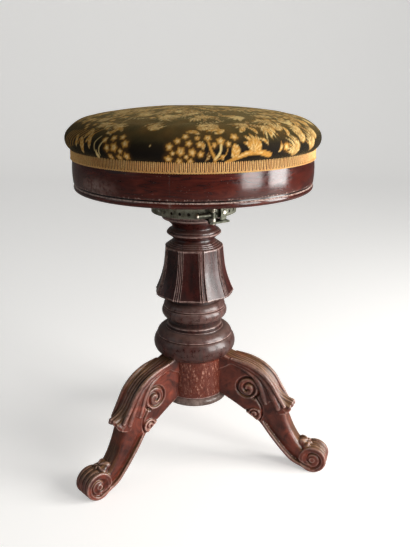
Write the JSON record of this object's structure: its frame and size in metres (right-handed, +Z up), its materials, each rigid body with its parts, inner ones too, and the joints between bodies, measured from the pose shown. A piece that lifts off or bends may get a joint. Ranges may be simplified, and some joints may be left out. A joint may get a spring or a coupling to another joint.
{
  "type": "revolving piano stool",
  "caption": "Round stuffed seat on a threaded screw, with a pierced locking ring, a turned and fluted column and carved cabriole legs on scroll feet.",
  "frame": {"origin": "the point of the floor under the column, on the column's axis", "axes": "+Z up along the column, +Y towards the back leg, +X to the right of someone who looks along +Y"},
  "size_m": [0.361, 0.3655, 0.5025],
  "materials": {
    "mahogany_post": "French polished, worn",
    "mahogany_leg": "French polished, carved, worn edges",
    "mahogany_rail": "French polished, glossy",
    "pine_board": "planed, unpolished",
    "cast_iron": "oiled, dark",
    "pale_metal": "dull plated, tarnished",
    "catch_iron": "tarnished",
    "bright_steel": "bright, worn",
    "brass": "dull",
    "blued_tacks": "blued",
    "jute": "coarse woven",
    "hessian": "open woven",
    "horsehair": "curled hair",
    "velvet": "figured velvet, olive ground and gold flowers",
    "gimp": "woven gold braid"
  },
  "bodies": {
    "base": {"column": "mahogany_post", "leg_front_left": "mahogany_leg", "leg_front_right": "mahogany_leg", "leg_back": "mahogany_leg", "base_cap": "mahogany_post", "base_cap_screws": "bright_steel", "thread_nut": "cast_iron", "nut_screws": "bright_steel", "thrust_washer": "brass", "ring_keeper": "cast_iron", "keeper_screws": "bright_steel", "latch_bracket": "catch_iron", "bracket_screws": "bright_steel", "latch_post": "bright_steel", "latch_bridge": "catch_iron", "bridge_screw": "bright_steel", "latch_spring": "bright_steel"},
    "catch": {"latch_lever": "catch_iron", "latch_knob": "bright_steel"},
    "ring": {"index_ring": "pale_metal", "ring_key": "bright_steel"},
    "seat": {"spindle": "cast_iron", "stop_screw": "bright_steel", "stop_washer": "bright_steel", "seat_plate": "cast_iron", "plate_screws": "bright_steel", "seat_board": "pine_board", "board_screws": "bright_steel", "seat_rail": "mahogany_rail", "webbing": "jute", "webbing_tacks": "blued_tacks", "hessian": "hessian", "stuffing": "horsehair", "cushion_cover": "velvet", "cover_tacks": "blued_tacks", "braid": "gimp"}
  },
  "joints": [
    {"name": "seat_turn", "type": "hinge", "parent": "base", "child": "ring", "pos_m": [0, 0, 0.36], "axis": [0, 0, 1], "range_deg": [0, 3600]},
    {"name": "seat_rise", "type": "slide", "parent": "ring", "child": "seat", "axis": [0, 0, 1], "range_m": [0, 0.08]},
    {"name": "catch_swing", "type": "hinge", "parent": "base", "child": "catch", "pos_m": [0.01206, -0.06204, 0.37], "axis": [0, 0, -1], "range_deg": [0, 10]}
  ],
  "couplings": [
    {"joint": "seat_rise", "follows": "seat_turn", "m_per_rad": 0.0012732}
  ]
}
